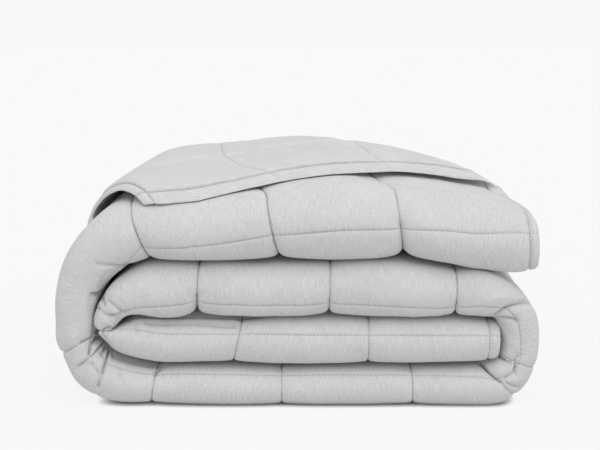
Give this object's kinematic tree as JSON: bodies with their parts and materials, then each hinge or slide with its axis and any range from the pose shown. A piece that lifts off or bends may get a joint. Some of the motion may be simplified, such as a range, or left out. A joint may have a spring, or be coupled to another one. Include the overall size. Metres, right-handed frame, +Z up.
{
  "type": "folded quilt",
  "caption": "Pale grey linen quilt with square box stitching, folded in a compact stack with rounded folds and one corner turned over on top.",
  "frame": {"origin": "on the resting plane, under the middle of the folded quilt", "axes": "+X along the folded strip, to the right when facing the rounded front folds; +Y from the front folds to the open back edges; +Z up"},
  "size_m": [0.5628, 0.6015, 0.2906],
  "materials": {
    "linen": "matte woven linen, pale grey"
  },
  "bodies": {
    "root": {"quilt": "linen"}
  },
  "joints": []
}
